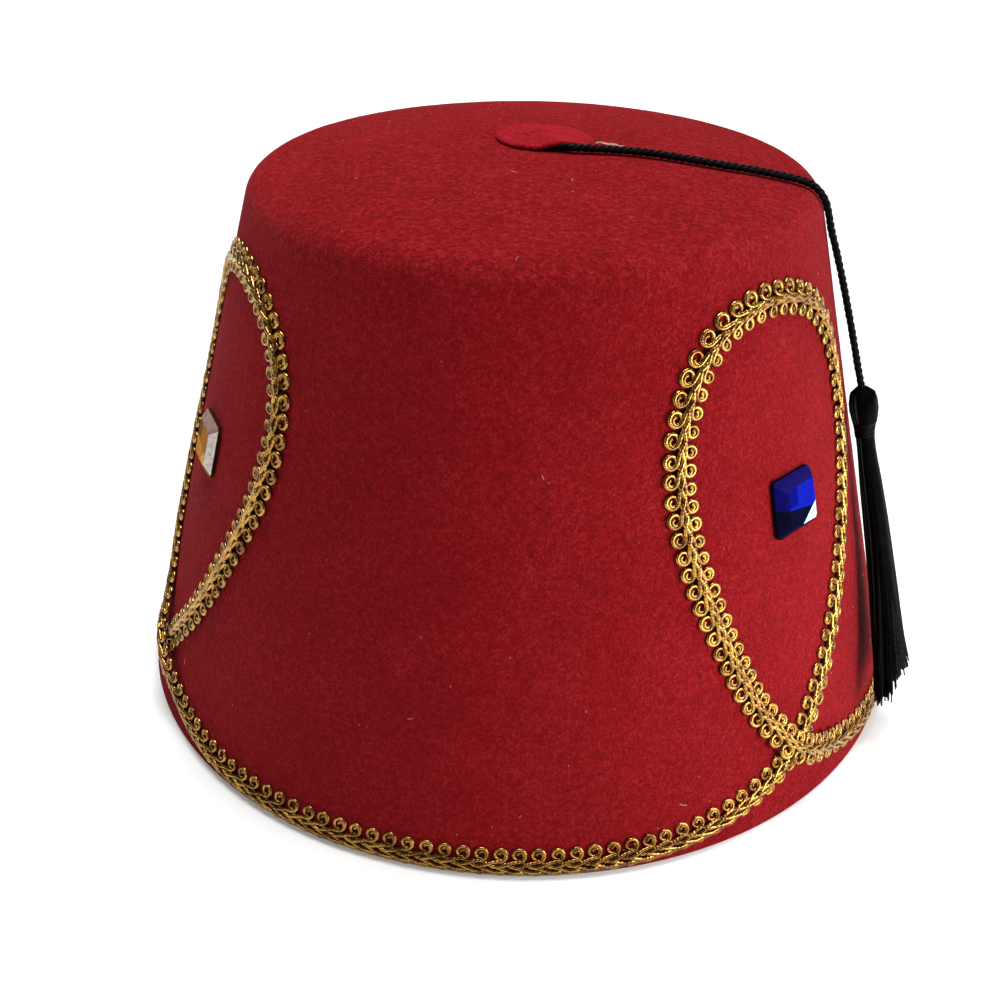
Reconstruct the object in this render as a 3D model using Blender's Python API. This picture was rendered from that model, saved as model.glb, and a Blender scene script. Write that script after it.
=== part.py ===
"""A costume fez, in metres, standing on its rim with +Z up and its front towards -Y.

The blocked felt crown carries one length of gold gimp braid. The braid runs round the rim, turns up
into a crossed loop at each motif, and frames a cut stone there. A black cord leaves a felt button
on top, goes over the shoulder and ends in a tassel that lies on the side.
"""
import math
from collections import namedtuple

import bmesh
import bpy
from mathutils import Matrix, Vector

# Clearance between pieces that touch on the real hat
GAP = 0.0003

# Felt crown: a cone whose side and a level top would meet at the top corner. A rounded shoulder leads
# from the side into the dome of the top, which starts at its edge with a slope in degrees.
RIM_RADIUS = 0.0950
TOP_CORNER_RADIUS = 0.0632
TOP_CORNER_HEIGHT = 0.1232
SHOULDER_ROUND = 0.0062
TOP_EDGE_SLOPE = 11.5
FELT_WALL = 0.0020
CROWN_LEAN = 0.0012
CROWN_FACETS = 64
SIDE_STEPS = 4
SHOULDER_STEPS = 5
TOP_STEPS = 4

# Felt button on top, laid over the cord's hidden end
BUTTON_RADIUS = 0.0110
BUTTON_THICKNESS = 0.0010
BUTTON_CENTRE = (0.0034, 0.0010)
BUTTON_FACETS = 28
BUTTON_RINGS = 7
HUMP_SPREAD = 0.0027

# Gold gimp braid
BRAID_WIDTH = 0.0082
BRAID_THICKNESS = 0.0019
BRAID_RIM_MARGIN = 0.0006
BRAID_STEP = 0.0046
LOOP_HALF_WIDTH = 0.0280
LOOP_SHOULDER_MARGIN = 0.0040
BASE_RUN_POINTS = 4
SPAN_STEPS = 8

# Cut stones
STONE_SIDE = 0.0122
STONE_CORNER_CUT = 0.0007
STONE_GIRDLE = 0.0010

# Cord and tassel
CORD_DIAMETER = 0.0018
CORD_STEP = 2.5
TASSEL_LENGTH = 0.0775
TASSEL_WIDTH = 0.0094
TASSEL_LEAN = 7.0
TASSEL_LOCKS = 11
LOCK_VALLEY = 0.20

# Each motif: the azimuth of its crossing, how far its loop sways to one side over it, how tall it is
# laid against the full loop, and its stone with the stone's colour
Motif = namedtuple("Motif", "azimuth sway height stone colour")
MOTIFS = (
    Motif(-159.8, 0.0038, 0.982, "amber_stone", (0.75, 0.36, 0.05)),
    Motif(-48.6, 0.0043, 1.000, "blue_stone", (0.01, 0.02, 0.55)),
    Motif(75.3, 0.0040, 0.990, "rear_stone", (0.01, 0.02, 0.55)),
)

# One arm of a loop, from the base run on the far side of the motif's middle, through the crossing and
# up to the loop's top. Across is a share of the loop's half width, up a share of the height from the
# base run to the top, sway a share of the motif's sway, and over is the share of the lift where the
# braid crosses on top of itself.
LoopRow = namedtuple("LoopRow", "across up sway over")
ARM = (
    LoopRow(-1.44, 0.006, 0.00, 0.0),
    LoopRow(-1.03, 0.016, 0.00, 0.0),
    LoopRow(-0.68, 0.031, 0.00, 0.0),
    LoopRow(-0.39, 0.050, 0.00, 0.35),
    LoopRow(-0.14, 0.073, 0.00, 1.0),
    LoopRow(0.06, 0.104, 0.00, 1.0),
    LoopRow(0.22, 0.155, 0.10, 0.45),
    LoopRow(0.42, 0.225, 0.30, 0.0),
    LoopRow(0.63, 0.330, 0.55, 0.0),
    LoopRow(0.81, 0.450, 0.72, 0.0),
    LoopRow(0.94, 0.560, 0.86, 0.0),
    LoopRow(1.00, 0.680, 0.96, 0.0),
    LoopRow(0.96, 0.785, 1.00, 0.0),
    LoopRow(0.82, 0.880, 0.97, 0.0),
    LoopRow(0.65, 0.935, 0.85, 0.0),
    LoopRow(0.50, 0.966, 0.70, 0.0),
    LoopRow(0.26, 0.991, 0.62, 0.0),
)
LOOP_TOP = LoopRow(0.0, 1.0, 0.57, 0.0)
STONE_ROW = LoopRow(0.0, 0.606, 1.05, 0.0)

# Half of the braid's cross-section, from its edge to its raised middle rib, as shares of the half
# width and of the thickness
SectionRow = namedtuple("SectionRow", "across up")
BRAID_SECTION = (
    SectionRow(1.00, 0.00),
    SectionRow(1.00, 0.62),
    SectionRow(0.42, 0.70),
    SectionRow(0.24, 1.00),
)

# The facets above a stone's girdle, from the girdle to the table: how far each step goes in and up
FacetRow = namedtuple("FacetRow", "inward rise")
STONE_FACETS = (
    FacetRow(0.0017, 0.0015),
    FacetRow(0.0010, 0.0004),
)

# The tassel from its head to its tips: how far along its length, its half width, half depth and the
# distance of its middle from the cord's line, as shares of the tassel's width, and how deep its
# valleys are. The tips are ragged by a spread and slant up towards +azimuth.
TasselRow = namedtuple("TasselRow", "along width depth out valley")
TASSEL_SECTIONS = (
    TasselRow(0.000, 0.11, 0.11, 0.00, 0.0),
    TasselRow(0.012, 0.27, 0.26, 0.00, 0.0),
    TasselRow(0.045, 0.36, 0.35, 0.00, 0.0),
    TasselRow(0.080, 0.35, 0.34, 0.00, 0.0),
    TasselRow(0.112, 0.27, 0.26, -0.02, 0.0),
    TasselRow(0.135, 0.23, 0.22, -0.04, 0.2),
    TasselRow(0.200, 0.24, 0.22, -0.04, 0.5),
    TasselRow(0.300, 0.33, 0.26, -0.02, 0.7),
    TasselRow(0.420, 0.43, 0.29, 0.00, 0.8),
    TasselRow(0.560, 0.53, 0.31, 0.01, 0.9),
    TasselRow(0.700, 0.61, 0.32, 0.04, 1.0),
    TasselRow(0.830, 0.69, 0.33, 0.09, 1.0),
    TasselRow(0.920, 0.74, 0.32, 0.16, 1.0),
)
TIP_ROW = TasselRow(0.950, 0.75, 0.30, 0.18, 1.0)
TIP_HOLLOW_ROW = TasselRow(0.915, 0.40, 0.15, 0.17, 0.0)
TIP_SPREAD = 0.024
TIP_SLANT = 0.036

# The cord's route, chosen by hand: from under the button, over the shoulder, down to the tassel
CORD_ROUTE = (
    (0.0034, 0.0010, 0.13043),
    (0.0038, -0.0034, 0.13041),
    (0.0049, -0.0074, 0.13033),
    (0.0076, -0.0097, 0.13021),
    (0.0120, -0.0099, 0.13008),
    (0.0180, -0.0096, 0.12980),
    (0.0250, -0.0097, 0.12932),
    (0.0330, -0.0107, 0.12852),
    (0.0410, -0.0116, 0.12751),
    (0.0495, -0.0116, 0.12623),
    (0.0555, -0.0119, 0.12517),
    (0.0600, -0.0129, 0.12428),
    (0.0622, -0.0142, 0.12322),
    (0.0637, -0.0156, 0.12141),
    (0.0646, -0.0164, 0.11919),
    (0.0658, -0.0168, 0.11500),
    (0.0672, -0.0173, 0.11100),
    (0.0693, -0.0185, 0.10450),
    (0.0710, -0.0199, 0.09860),
    (0.0725, -0.0215, 0.09300),
    (0.0745, -0.0229, 0.08571),
    (0.0759, -0.0235, 0.08090),
)


def side_slant():
    """The angle of the crown's side from upright."""
    return math.atan2(RIM_RADIUS - TOP_CORNER_RADIUS, TOP_CORNER_HEIGHT)


def lean_at(height):
    """How far the crown has leaned towards +X at a height."""
    return CROWN_LEAN * height / TOP_CORNER_HEIGHT


def shoulder_centre():
    """Radius and height of the centre of the shoulder's round."""
    corner_angle = math.pi / 2 + side_slant()
    setback = SHOULDER_ROUND / math.tan(corner_angle / 2)
    return TOP_CORNER_RADIUS - setback, TOP_CORNER_HEIGHT - SHOULDER_ROUND


def side_top_height():
    """The height where the straight side ends and the shoulder begins."""
    return shoulder_centre()[1] + SHOULDER_ROUND * math.sin(side_slant())


def dome_edge():
    """Radius and height where the shoulder runs into the domed top."""
    centre_radius, centre_height = shoulder_centre()
    slope = math.radians(TOP_EDGE_SLOPE)
    return centre_radius + SHOULDER_ROUND * math.sin(slope), centre_height + SHOULDER_ROUND * math.cos(slope)


def crown_frame(azimuth, height, stand_off):
    """A point off the crown's side, with the directions round, up and out of the felt there."""
    slant = side_slant()
    turn = math.radians(azimuth)
    outward = Vector((math.cos(turn), math.sin(turn), 0))
    around = Vector((-math.sin(turn), math.cos(turn), 0))
    normal = outward * math.cos(slant) + Vector((0, 0, math.sin(slant)))
    up_side = normal.cross(around)
    foot = outward * (RIM_RADIUS - height * math.tan(slant)) + Vector((0, 0, height))
    point = foot + normal * stand_off
    point.x += lean_at(point.z)
    return point, around, up_side, normal


def top_height(x, y):
    """The height of the felt on the domed top."""
    edge_radius, edge_height = dome_edge()
    share = math.hypot(x - lean_at(TOP_CORNER_HEIGHT), y) / edge_radius
    rise = edge_radius * math.tan(math.radians(TOP_EDGE_SLOPE)) / 2
    return edge_height + rise * (1 - share * share)


def smooth_route(points, steps, closed=False):
    """Points on a smooth curve through the given ones, several to each stretch."""
    count = len(points)
    spans = count if closed else count - 1
    route = []
    for index in range(spans):
        start, end = points[index], points[(index + 1) % count]
        before = points[index - 1] if closed or index else start * 2 - end
        last = index + 2 >= count and not closed
        after = end * 2 - start if last else points[(index + 2) % count]
        length = (end - start).length
        leave = (end - before) * (length / ((start - before).length + length))
        arrive = (after - start) * (length / ((after - end).length + length))
        for step in range(steps):
            t = step / steps
            route.append(
                start * (2 * t**3 - 3 * t**2 + 1) + leave * (t**3 - 2 * t**2 + t)
                + end * (3 * t**2 - 2 * t**3) + arrive * (t**3 - t**2)
            )
    if not closed:
        route.append(points[-1])
    return route


def even_steps(route, count, closed=False):
    """The route again, as points an equal distance apart."""
    chain = route + [route[0]] if closed else route
    reach = [0.0]
    for start, end in zip(chain, chain[1:]):
        reach.append(reach[-1] + (end - start).length)
    stops = count if closed else count - 1
    even = []
    span = 0
    for step in range(count):
        target = reach[-1] * step / stops
        while span < len(chain) - 2 and reach[span + 1] < target:
            span += 1
        share = (target - reach[span]) / (reach[span + 1] - reach[span])
        even.append(chain[span].lerp(chain[span + 1], share))
    return even


def material(name, colour, roughness, metallic=0.0):
    """A plain coloured surface."""
    finish = bpy.data.materials.new(name)
    finish.use_nodes = True
    shader = finish.node_tree.nodes["Principled BSDF"]
    shader.inputs["Base Color"].default_value = (*colour, 1)
    shader.inputs["Roughness"].default_value = roughness
    shader.inputs["Metallic"].default_value = metallic
    return finish


def add_object(name, data, finish, matrix=None):
    """Put a mesh or curve in the scene under its own name and material."""
    data.materials.append(finish)
    thing = bpy.data.objects.new(name, data)
    bpy.context.scene.collection.objects.link(thing)
    if matrix is not None:
        thing.matrix_world = matrix
    return thing


def finish_mesh(bm, name, smooth_angle):
    """Turn a bmesh into a mesh with its faces outwards, smooth below an edge angle."""
    bmesh.ops.remove_doubles(bm, verts=bm.verts, dist=0.000001)
    bmesh.ops.recalc_face_normals(bm, faces=bm.faces)
    mesh = bpy.data.meshes.new(name)
    bm.to_mesh(mesh)
    bm.free()
    mesh.shade_smooth()
    mesh.set_sharp_from_angle(angle=math.radians(smooth_angle))
    return mesh


def spin_profile(profile, facets):
    """A closed round body, turned from a chain of radius and height points that ends on the axis."""
    bm = bmesh.new()
    verts = [bm.verts.new((radius, 0, height)) for radius, height in profile]
    edges = [bm.edges.new(pair) for pair in zip(verts, verts[1:])]
    bmesh.ops.spin(
        bm, geom=verts + edges, cent=(0, 0, 0), axis=(0, 0, 1),
        angle=2 * math.pi, steps=facets, use_merge=True,
    )
    return bm


def loft_rings(bm, rings, closed=False):
    """Skin neighbouring rings of vertices with quads."""
    pairs = list(zip(rings, rings[1:]))
    if closed:
        pairs.append((rings[-1], rings[0]))
    for lower, upper in pairs:
        for index in range(len(lower)):
            following = (index + 1) % len(lower)
            bm.faces.new((lower[index], lower[following], upper[following], upper[index]))


def crown_profile(inset):
    """Radius and height along the felt from the rim to the middle of the top, inset into the wall."""
    slant = side_slant()
    centre_radius, centre_height = shoulder_centre()
    bend = SHOULDER_ROUND - inset
    rim = RIM_RADIUS - inset / math.cos(slant)
    side_end = (centre_radius + bend * math.cos(slant), centre_height + bend * math.sin(slant))
    profile = []
    for step in range(SIDE_STEPS):
        share = step / SIDE_STEPS
        profile.append((rim + (side_end[0] - rim) * share, side_end[1] * share))
    dome_angle = math.pi / 2 - math.radians(TOP_EDGE_SLOPE)
    for step in range(SHOULDER_STEPS + 1):
        angle = slant + (dome_angle - slant) * step / SHOULDER_STEPS
        profile.append((centre_radius + bend * math.cos(angle), centre_height + bend * math.sin(angle)))
    edge_radius, edge_height = profile[-1]
    rise = edge_radius * math.tan(math.radians(TOP_EDGE_SLOPE)) / 2
    for step in range(1, TOP_STEPS + 1):
        share = 1 - step / TOP_STEPS
        profile.append((edge_radius * share, edge_height + rise * (1 - share * share)))
    return profile


def make_crown():
    """The blocked felt crown, open at the rim, its cut edge flat."""
    outside = crown_profile(0)
    inside = crown_profile(FELT_WALL)
    bm = spin_profile(outside[::-1] + inside, CROWN_FACETS)
    for vert in bm.verts:
        vert.co.x += lean_at(vert.co.z)
    felt = material("red_felt", (0.36, 0.010, 0.016), 0.95)
    return add_object("felt_crown", finish_mesh(bm, "felt_crown", 50), felt)


def cord_curve():
    """The cord's smooth centre line, from under the button to the tassel."""
    return smooth_route([Vector(point) for point in CORD_ROUTE], SPAN_STEPS)


def cord_points():
    """The cord's centre line at even steps."""
    route = cord_curve()
    length = sum((end - start).length for start, end in zip(route, route[1:]))
    return even_steps(route, round(length / (CORD_STEP * CORD_DIAMETER)) + 1)


def make_button():
    """The felt disc, following the domed top and humped over the cord's hidden end."""
    radii = [BUTTON_RADIUS * ring / BUTTON_RINGS for ring in range(BUTTON_RINGS + 1)]
    profile = [(radius, 0) for radius in radii] + [(radius, BUTTON_THICKNESS) for radius in radii[::-1]]
    bm = spin_profile(profile, BUTTON_FACETS)
    centre = Vector(BUTTON_CENTRE)
    hidden = [point.xy for point in cord_curve() if (point.xy - centre).length < 1.6 * BUTTON_RADIUS]
    hump = CORD_DIAMETER + 1.5 * GAP
    for vert in bm.verts:
        spot = vert.co.xy + centre
        beside = min((spot - point).length for point in hidden)
        lift = hump * math.exp(-((beside / HUMP_SPREAD) ** 2))
        vert.co = Vector((*spot, vert.co.z + top_height(*spot) + GAP + lift))
    felt = material("button_felt", (0.45, 0.014, 0.030), 0.95)
    return add_object("felt_button", finish_mesh(bm, "felt_button", 50), felt)


def base_height():
    """The height of the braid's middle where it runs round the rim."""
    return BRAID_RIM_MARGIN + BRAID_WIDTH / 2 * math.cos(side_slant())


def motif_place(motif, row, side=1):
    """The azimuth and height of one row of a motif's loop, on its own side or on the other side."""
    half_band = BRAID_WIDTH / 2 * math.cos(side_slant())
    full_top = side_top_height() - LOOP_SHOULDER_MARGIN - half_band
    height = base_height() + row.up * (full_top - base_height()) * motif.height
    side_step = side * row.across * LOOP_HALF_WIDTH + row.sway * motif.sway
    radius = RIM_RADIUS - height * math.tan(side_slant())
    return motif.azimuth + math.degrees(side_step / radius), height


def braid_knots():
    """The braid's chosen points in order round the hat, each with its share of lift."""
    knots = []
    for motif, following in zip(MOTIFS, MOTIFS[1:] + MOTIFS[:1]):
        for row in ARM:
            knots.append((*motif_place(motif, row), 0))
        knots.append((*motif_place(motif, LOOP_TOP), 0))
        for row in reversed(ARM):
            knots.append((*motif_place(motif, row, -1), row.over))
        leave, _ = motif_place(motif, ARM[0], -1)
        arrive, _ = motif_place(following, ARM[0])
        sweep = (arrive - leave) % 360
        for point in range(1, BASE_RUN_POINTS + 1):
            knots.append((leave + sweep * point / (BASE_RUN_POINTS + 1), base_height(), 0))
    return knots


def braid_stations():
    """Even stations along the closed braid, each a point on the felt with its share of lift."""
    knots = [
        Vector((*crown_frame(azimuth, height, 0)[0], over * BRAID_THICKNESS))
        for azimuth, height, over in braid_knots()
    ]
    route = smooth_route(knots, SPAN_STEPS, closed=True)
    length = sum((end - start).length for start, end in zip(route, route[1:] + route[:1]))
    return even_steps(route, round(length / BRAID_STEP), closed=True)


def make_braid():
    """One closed length of braid with a raised middle rib, lifted where it crosses over itself."""
    stations = braid_stations()
    section = list(BRAID_SECTION) + [SectionRow(-row.across, row.up) for row in reversed(BRAID_SECTION)]
    bm = bmesh.new()
    rings = []
    for index, station in enumerate(stations):
        azimuth = math.degrees(math.atan2(station.y, station.x - lean_at(station.z)))
        lift = max(0, station.w) * (1 + GAP / BRAID_THICKNESS)
        point, _, _, normal = crown_frame(azimuth, station.z, GAP + lift)
        ahead = stations[(index + 1) % len(stations)] - stations[index - 1]
        across = normal.cross(ahead.xyz).normalized()
        ring = []
        for row in section:
            offset = across * (row.across * BRAID_WIDTH / 2) + normal * (row.up * BRAID_THICKNESS)
            ring.append(bm.verts.new(point + offset))
        rings.append(ring)
    loft_rings(bm, rings, closed=True)
    gold = material("gold_gimp", (0.62, 0.40, 0.08), 0.35, 0.8)
    return add_object("gold_braid", finish_mesh(bm, "gold_braid", 30), gold)


def make_stone(motif):
    """A square cut stone with blunted corners, a girdle, two steps of facets and a table."""
    bm = bmesh.new()
    bmesh.ops.create_cube(bm, size=1)
    bmesh.ops.scale(bm, vec=(STONE_SIDE, STONE_SIDE, STONE_GIRDLE), verts=bm.verts)
    bmesh.ops.translate(bm, vec=(0, 0, STONE_GIRDLE / 2), verts=bm.verts)
    corners = [edge for edge in bm.edges if abs(edge.verts[0].co.z - edge.verts[1].co.z) > STONE_GIRDLE / 2]
    bmesh.ops.bevel(
        bm, geom=corners, offset=STONE_CORNER_CUT, affect="EDGES", segments=1, profile=0.5, material=-1
    )
    bm.normal_update()
    table = max(bm.faces, key=lambda face: face.normal.z)
    half_side = STONE_SIDE / 2
    for row in STONE_FACETS:
        bmesh.ops.inset_region(bm, faces=[table], thickness=0, depth=0)
        shrink = 1 - row.inward / half_side
        bmesh.ops.scale(bm, vec=(shrink, shrink, 1), verts=table.verts)
        bmesh.ops.translate(bm, vec=(0, 0, row.rise), verts=table.verts)
        half_side -= row.inward
    azimuth, height = motif_place(motif, STONE_ROW)
    point, around, up_side, normal = crown_frame(azimuth, height, GAP)
    turn = Matrix((around, up_side, normal)).transposed().to_4x4()
    glass = material(motif.stone + "_glass", motif.colour, 0.05)
    mesh = finish_mesh(bm, motif.stone, 5)
    return add_object(motif.stone, mesh, glass, Matrix.Translation(point) @ turn)


def make_cord():
    """The free cord, a tube along its route."""
    points = cord_points()
    curve = bpy.data.curves.new("cord", "CURVE")
    curve.dimensions = "3D"
    curve.bevel_depth = CORD_DIAMETER / 2
    curve.bevel_resolution = 2
    curve.use_fill_caps = True
    spline = curve.splines.new("POLY")
    spline.points.add(len(points) - 1)
    for knot, point in zip(spline.points, points):
        knot.co = (*point, 1)
    black = material("black_cord", (0.006, 0.006, 0.007), 0.6)
    return add_object("cord", curve, black)


def tassel_ring(bm, row, tip_spread=0.0, tip_slant=0.0):
    """One section of the tassel in its own frame: X round the hat, Y off the felt, Z down to the tips."""
    ring = []
    count = 2 * TASSEL_LOCKS
    for index in range(count):
        angle = 2 * math.pi * index / count
        in_valley = index % 2
        reach = TASSEL_WIDTH * (1 - LOCK_VALLEY * row.valley * in_valley)
        along = row.along + tip_spread * (math.sin(2.4 * index) if in_valley == 0 else -1)
        along -= tip_slant * math.cos(angle)
        x = row.width * reach * math.cos(angle)
        y = row.depth * reach * math.sin(angle) + row.out * TASSEL_WIDTH
        ring.append(bm.verts.new((x, y, along * TASSEL_LENGTH)))
    return ring


def make_tassel():
    """A bound head and a skirt of locks with ragged tips, lying down the side from the cord's end."""
    bm = bmesh.new()
    rings = [tassel_ring(bm, row) for row in TASSEL_SECTIONS]
    rings.append(tassel_ring(bm, TIP_ROW, TIP_SPREAD, TIP_SLANT))
    rings.append(tassel_ring(bm, TIP_HOLLOW_ROW))
    loft_rings(bm, rings)
    bm.faces.new(rings[0])
    bm.faces.new(rings[-1])
    before, end = cord_points()[-2:]
    top = end + (end - before).normalized() * GAP
    azimuth = math.degrees(math.atan2(top.y, top.x - lean_at(top.z)))
    _, around, up_side, normal = crown_frame(azimuth, top.z, 0)
    turn = Matrix((around, normal, -up_side)).transposed().to_4x4()
    turn = turn @ Matrix.Rotation(math.radians(-TASSEL_LEAN), 4, "Y")
    black = material("black_strands", (0.005, 0.005, 0.006), 0.45)
    mesh = finish_mesh(bm, "tassel", 60)
    return add_object("tassel", mesh, black, Matrix.Translation(top) @ turn)


def main():
    for thing in list(bpy.data.objects):
        bpy.data.objects.remove(thing)
    make_crown()
    make_button()
    make_braid()
    for motif in MOTIFS:
        make_stone(motif)
    make_cord()
    make_tassel()


main()
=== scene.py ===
import math
import random
from collections import namedtuple

import bmesh
import bpy
from mathutils import Matrix, Vector, noise


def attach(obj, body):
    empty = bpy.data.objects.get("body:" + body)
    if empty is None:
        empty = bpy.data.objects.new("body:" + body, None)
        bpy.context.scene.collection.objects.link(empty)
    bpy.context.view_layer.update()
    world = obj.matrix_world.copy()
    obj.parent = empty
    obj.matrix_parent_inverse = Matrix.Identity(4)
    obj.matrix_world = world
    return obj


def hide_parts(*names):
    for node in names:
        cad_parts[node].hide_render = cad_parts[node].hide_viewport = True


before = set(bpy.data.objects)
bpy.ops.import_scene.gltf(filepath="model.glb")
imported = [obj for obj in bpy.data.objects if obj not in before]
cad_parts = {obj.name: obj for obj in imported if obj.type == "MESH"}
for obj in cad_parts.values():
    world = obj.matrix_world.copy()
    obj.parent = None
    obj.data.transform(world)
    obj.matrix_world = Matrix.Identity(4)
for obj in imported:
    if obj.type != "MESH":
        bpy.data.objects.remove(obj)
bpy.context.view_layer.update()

# Clearance between pieces that touch on the real hat
GAP = 0.0003
# How finely the braid's line and the cord's tail are stepped, and how near vertices are merged
LINE_STEP = 0.001
MERGE_DISTANCE = 0.0000005

# Felt crown
RIM_RADIUS = 0.0950
TOP_CORNER_RADIUS = 0.0632
TOP_CORNER_HEIGHT = 0.1232
SHOULDER_ROUND = 0.0062
TOP_EDGE_SLOPE = 11.5
FELT_WALL = 0.0020
CROWN_LEAN = 0.0012
CUT_EDGE_ROUND = 0.0005
NAP_SWELL = 0.00025
FELT_LUMPS = 0.00016
EVEN_RIM_HEIGHT = 0.006
ROUGH_TOP_FROM = 0.1165
ROUGH_TOP_FADE = 0.006
ROUGH_TOP_AMOUNT = 0.27
CROWN_FACETS = 224
SIDE_STEPS = 56
SHOULDER_STEPS = 12
TOP_STEPS = 22

# Felt button on top
BUTTON_RADIUS = 0.0110
BUTTON_THICKNESS = 0.0008
BUTTON_CENTRE = (0.0034, 0.0010)
HUMP_SPREAD = 0.0034
CORD_SQUASH = 0.00045
CORD_BEDDED = 0.2
BUTTON_SINK = 0.0007
BUTTON_SINK_WAY = (0.8, 0.6)
BUTTON_LUMPS = 0.00010
CREASE = ((-0.0058, -0.0010), (-0.0008, -0.0026))
CREASE_DEPTH = 0.00035
CREASE_WIDTH = 0.0007

# Fibres of the nap, hairs of lint, and the frayed fibres that curl out from under the button
NAP_FIBRES = 4200
NAP_RADIUS = 0.000022
NAP_ROOT = 0.0002
NAP_LENGTH = (0.0005, 0.0016)
NAP_STAND = (0.0003, 0.0007)
SIDE_SHARE = 0.78
CLEAR_OF_RIM = 0.002
LINT_HAIRS = 150
LINT_RADIUS = 0.000035
LINT_STAND = 0.00022
SHORT_LINT_SHARE = 0.9
SHORT_LINT = (0.0003, 0.0009)
LONG_LINT = (0.0012, 0.0026)
FRAYED_ENDS = ((0.0146, -0.0030), (0.0160, -0.0038))
FRAYED_THICKNESS = 3.2
CURL_POINTS = 9
CURL_STEP = 0.0006
CURL_WIDTH = 0.0005
CURL_HEIGHT = 0.0002

# Gold gimp braid
BRAID_WIDTH = 0.0082
BRAID_THICKNESS = 0.0019
BRAID_RIM_MARGIN = 0.0006
LOOP_HALF_WIDTH = 0.0280
LOOP_SHOULDER_MARGIN = 0.0040
BASE_RUN_POINTS = 4
SPAN_STEPS = 8
SCROLL_PITCH = 0.00396
THREAD_RADIUS = 0.00038
LOOP_FULLNESS = 0.3
CORE_RADIUS = 0.00042
CORE_HEIGHT = 0.00020
CORE_STEP = 0.0018
TURNED_CORE = 0.0022
CROSSING_LIFT = 0.0017

# The braid sits lower round the rim, up to one height and fading out above it, and a loop's own shape
# fades in above another
RIM_DROP = 0.0016
RIM_DROP_BELOW = 0.005
RIM_DROP_FADE = 0.009
LOOP_FROM = 0.006
LOOP_FADE = 0.008

# Cut stones
STONE_SIDE = 0.0122
STONE_CORNER_CUT = 0.0007
STONE_GIRDLE = 0.0006

# Cord and tassel
CORD_DIAMETER = 0.0018
CORD_TWIST = 0.0046
CORD_STEP = 0.0006
CORD_PLUMP = 1.03
CORD_END_STRETCH = 2.5 * CORD_DIAMETER
CORD_TAIL = 0.026
TASSEL_LENGTH = 0.0775
TASSEL_WIDTH = 0.0094
TASSEL_LEAN = 7.0
TASSEL_LOCKS = 11
LOCK_DEPTH = 0.35
LOOSE_FROM = 0.20
TASSEL_STRANDS = 440
STRAND_RADIUS = 0.00019
STRAND_STEPS = 24
STRAND_END = 0.895
STRAND_END_SPREAD = (-0.03, 0.025)
END_SLANT = 0.030
STRAY_SHARE = 0.09
STRAY_REACH = (0.0008, 0.0034)
STRAND_WAVE = 0.00035
FRONT_FLARE = (0.0099, 0.0030)
BINDING_TURNS = 7
BINDING_RADIUS = 0.00026
BINDING_LIFT = 0.0001
BINDING_FROM = 0.104
BINDING_SPAN = 0.044

# Linear colours, from dark to light
FELT_REDS = ((0.160, 0.0012, 0.0026), (0.262, 0.0026, 0.0054), (0.400, 0.0170, 0.0230))
BUTTON_REDS = ((0.240, 0.0020, 0.0070), (0.360, 0.0050, 0.0140), (0.480, 0.0140, 0.0260))
GOLDS = ((0.13, 0.047, 0.012), (0.57, 0.322, 0.070))
CORE_GOLDS = ((0.10, 0.045, 0.006), (0.26, 0.14, 0.025))
CORD_BLACKS = ((0.0007, 0.0007, 0.0010), (0.0030, 0.0030, 0.0034))
STRAND_BLACKS = ((0.0005, 0.0005, 0.0007), (0.0022, 0.0022, 0.0026))
LINT_PINKS = ((0.62, 0.30, 0.28), (0.85, 0.62, 0.58))

Motif = namedtuple("Motif", "azimuth sway height stone nudge size rise")
MOTIFS = (
    Motif(-159.8, 0.0038, 0.982, "amber_stone", 0.0, 1.0, 1.0),
    Motif(-48.6, 0.0043, 1.000, "blue_stone", 0.0007, 1.06, 1.45),
    Motif(75.3, 0.0040, 0.990, "rear_stone", 0.0, 1.0, 1.2),
)

# One arm of a loop, from the base run through the crossing and up to the loop's top: across in shares
# of the loop's half width, up in shares of the loop's height, and the share of sway and of lift there
LoopRow = namedtuple("LoopRow", "across up sway over")
ARM = (
    LoopRow(-1.44, 0.006, 0.00, 0.0),
    LoopRow(-1.03, 0.016, 0.00, 0.0),
    LoopRow(-0.68, 0.031, 0.00, 0.0),
    LoopRow(-0.39, 0.050, 0.00, 0.35),
    LoopRow(-0.14, 0.073, 0.00, 1.0),
    LoopRow(0.06, 0.104, 0.00, 1.0),
    LoopRow(0.22, 0.155, 0.10, 0.45),
    LoopRow(0.42, 0.225, 0.30, 0.0),
    LoopRow(0.63, 0.330, 0.55, 0.0),
    LoopRow(0.81, 0.450, 0.72, 0.0),
    LoopRow(0.94, 0.560, 0.86, 0.0),
    LoopRow(1.00, 0.680, 0.96, 0.0),
    LoopRow(0.96, 0.785, 1.00, 0.0),
    LoopRow(0.82, 0.880, 0.97, 0.0),
    LoopRow(0.65, 0.935, 0.85, 0.0),
    LoopRow(0.50, 0.966, 0.70, 0.0),
    LoopRow(0.26, 0.991, 0.62, 0.0),
)
LOOP_TOP = LoopRow(0.0, 1.0, 0.57, 0.0)
STONE_ROW = LoopRow(0.0, 0.606, 1.05, 0.0)

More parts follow.
